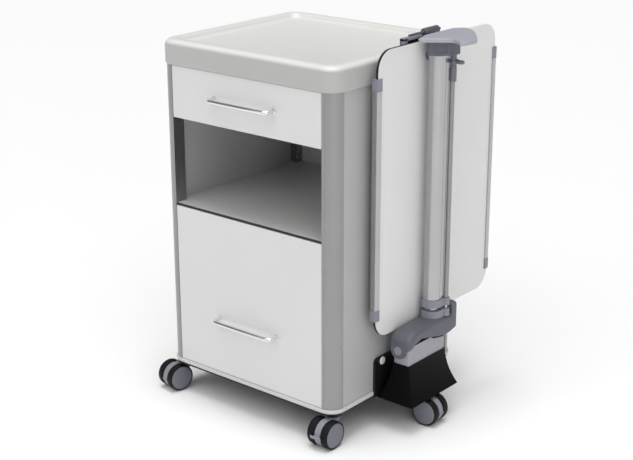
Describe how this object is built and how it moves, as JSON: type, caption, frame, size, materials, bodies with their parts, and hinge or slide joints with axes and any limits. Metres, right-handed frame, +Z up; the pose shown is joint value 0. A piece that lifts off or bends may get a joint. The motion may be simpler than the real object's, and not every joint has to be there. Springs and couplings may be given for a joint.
{
  "type": "hospital bedside cabinet",
  "caption": "Bedside cabinet on twin-wheel castors with a drawer, open shelf, deep drawer, tray top and a folded overbed table on a telescopic side column.",
  "frame": {"origin": "centre of the bounding box on the floor plane the castors stand on", "axes": "+Z up, -Y is the side the drawers face, +X is the side that carries the overbed table"},
  "size_m": [0.6303, 0.5468, 0.826],
  "materials": {
    "white_laminate": "satin melamine-faced panel, thin grey edge band",
    "table_laminate": "fine-textured compact laminate with a black core edge",
    "tray_plastic": "moulded warm light grey plastic, fine texture",
    "base_plastic": "light grey moulded plastic",
    "drawer_plastic": "light grey moulded drawer tub",
    "anodised_aluminium": "satin anodised extrusion",
    "zinc_steel": "bright zinc-plated steel",
    "powder_steel": "light grey powder coat",
    "chrome": "polished chrome",
    "dark_steel": "black powder coat",
    "grey_plastic": "moulded grey plastic, fine grain",
    "light_grey_plastic": "moulded lilac-grey plastic, fine grain",
    "dark_grey_plastic": "moulded dark grey plastic, fine grain",
    "black_plastic": "black moulded plastic, fine grain",
    "tyre_rubber": "black polyurethane tread"
  },
  "bodies": {
    "cabinet": {"top_tray": "tray_plastic", "base_plate": "base_plastic", "base_frame": "dark_steel", "front_left_post": "anodised_aluminium", "front_right_post": "anodised_aluminium", "rear_left_post": "anodised_aluminium", "rear_right_post": "anodised_aluminium", "left_side_panel": "white_laminate", "right_side_panel": "white_laminate", "rear_panel": "white_laminate", "shelf": "white_laminate", "drawer_divider": "white_laminate", "top_drawer_left_runner": "zinc_steel", "top_drawer_right_runner": "zinc_steel", "lower_drawer_left_runner": "zinc_steel", "lower_drawer_right_runner": "zinc_steel", "side_bracket": "dark_steel", "skirt_cover": "black_plastic", "table_post": "powder_steel", "tilt_pin": "light_grey_plastic"},
    "tilt_arm": {"tilt_arm": "dark_grey_plastic", "inner_mast": "anodised_aluminium", "lower_ring": "light_grey_plastic", "gas_rod": "chrome"},
    "column": {"column_sleeve": "anodised_aluminium", "upper_ring": "light_grey_plastic", "gas_tube": "zinc_steel", "head_collar": "dark_grey_plastic", "wing_plate": "light_grey_plastic"},
    "release_lever": {"release_lever": "grey_plastic"},
    "table_board": {"table_board": "table_laminate", "front_rail": "anodised_aluminium", "rear_rail": "anodised_aluminium", "front_rail_top_cap": "light_grey_plastic", "front_rail_bottom_cap": "light_grey_plastic", "rear_rail_top_cap": "light_grey_plastic", "rear_rail_bottom_cap": "light_grey_plastic", "board_hub": "dark_grey_plastic", "hinge_strap": "grey_plastic"},
    "front_right_brake_pedal": {"front_right_brake_pedal": "light_grey_plastic"},
    "top_drawer": {"top_drawer_front": "white_laminate", "top_drawer_handle": "chrome", "top_drawer_box": "drawer_plastic", "top_drawer_left_slide": "zinc_steel", "top_drawer_right_slide": "zinc_steel"},
    "lower_drawer": {"lower_drawer_front": "white_laminate", "lower_drawer_handle": "chrome", "lower_drawer_box": "drawer_plastic", "lower_drawer_left_slide": "zinc_steel", "lower_drawer_right_slide": "zinc_steel"},
    "front_left_castor": {"front_left_castor_body": "grey_plastic"},
    "front_left_wheels": {"front_left_castor_wheels": "tyre_rubber"},
    "front_right_castor": {"front_right_castor_body": "grey_plastic"},
    "front_right_wheels": {"front_right_castor_wheels": "tyre_rubber"},
    "rear_left_castor": {"rear_left_castor_body": "grey_plastic"},
    "rear_left_wheels": {"rear_left_castor_wheels": "tyre_rubber"},
    "rear_right_castor": {"rear_right_castor_body": "grey_plastic"},
    "rear_right_wheels": {"rear_right_castor_wheels": "tyre_rubber"},
    "table_castor": {"table_castor_body": "grey_plastic"},
    "table_wheels": {"table_castor_wheels": "tyre_rubber"}
  },
  "joints": [
    {"name": "top_drawer_slide", "type": "slide", "parent": "cabinet", "child": "top_drawer", "axis": [0, -1, 0], "range_m": [0, 0.3]},
    {"name": "lower_drawer_slide", "type": "slide", "parent": "cabinet", "child": "lower_drawer", "axis": [0, -1, 0], "range_m": [0, 0.3]},
    {"name": "column_tilt", "type": "hinge", "parent": "cabinet", "child": "tilt_arm", "pos_m": [0.22801, -0.0376, 0.1804], "axis": [0, 1, 0], "range_deg": [0, 12]},
    {"name": "column_lift", "type": "slide", "parent": "tilt_arm", "child": "column", "axis": [0, 0, 1], "range_m": [0, 0.3]},
    {"name": "board_swivel", "type": "hinge", "parent": "column", "child": "table_board", "pos_m": [0.20901, 0.0264, 0.775], "axis": [1, 0, 0], "range_deg": [0, 90]},
    {"name": "release_lever_lift", "type": "slide", "parent": "column", "child": "release_lever", "axis": [0, 0, 1], "range_m": [0, 0.006], "stiffness_N_per_m": 400, "springref_m": -0.004},
    {"name": "front_left_castor_swivel", "type": "hinge", "parent": "cabinet", "child": "front_left_castor", "pos_m": [-0.27399, -0.2086, 0.064], "axis": [0, 0, 1], "continuous": true},
    {"name": "front_left_wheels_roll", "type": "hinge", "parent": "front_left_castor", "child": "front_left_wheels", "pos_m": [-0.27935, -0.23506, 0.03], "axis": [0.9801, -0.1987, 0], "continuous": true},
    {"name": "front_right_castor_swivel", "type": "hinge", "parent": "cabinet", "child": "front_right_castor", "pos_m": [0.15701, -0.2116, 0.064], "axis": [0, 0, 1], "continuous": true},
    {"name": "front_right_wheels_roll", "type": "hinge", "parent": "front_right_castor", "child": "front_right_wheels", "pos_m": [0.15701, -0.2386, 0.03], "axis": [1, 0, 0], "continuous": true},
    {"name": "rear_left_castor_swivel", "type": "hinge", "parent": "cabinet", "child": "rear_left_castor", "pos_m": [-0.26499, 0.1574, 0.064], "axis": [0, 0, 1], "continuous": true},
    {"name": "rear_left_wheels_roll", "type": "hinge", "parent": "rear_left_castor", "child": "rear_left_wheels", "pos_m": [-0.27793, 0.18109, 0.03], "axis": [-0.8776, -0.4794, 0], "continuous": true},
    {"name": "rear_right_castor_swivel", "type": "hinge", "parent": "cabinet", "child": "rear_right_castor", "pos_m": [0.15701, 0.1574, 0.064], "axis": [0, 0, 1], "continuous": true},
    {"name": "rear_right_wheels_roll", "type": "hinge", "parent": "rear_right_castor", "child": "rear_right_wheels", "pos_m": [0.13363, 0.1709, 0.03], "axis": [-0.5, -0.866, 0], "continuous": true},
    {"name": "table_castor_swivel", "type": "hinge", "parent": "cabinet", "child": "table_castor", "pos_m": [0.23201, -0.0156, 0.064], "axis": [0, 0, 1], "continuous": true},
    {"name": "table_wheels_roll", "type": "hinge", "parent": "table_castor", "child": "table_wheels", "pos_m": [0.25898, -0.01425, 0.03], "axis": [-0.05, 0.9988, 0], "continuous": true},
    {"name": "front_right_brake", "type": "hinge", "parent": "front_right_castor", "child": "front_right_brake_pedal", "pos_m": [0.15701, -0.2386, 0.03], "axis": [1, 0, 0], "range_deg": [0, 12]}
  ]
}
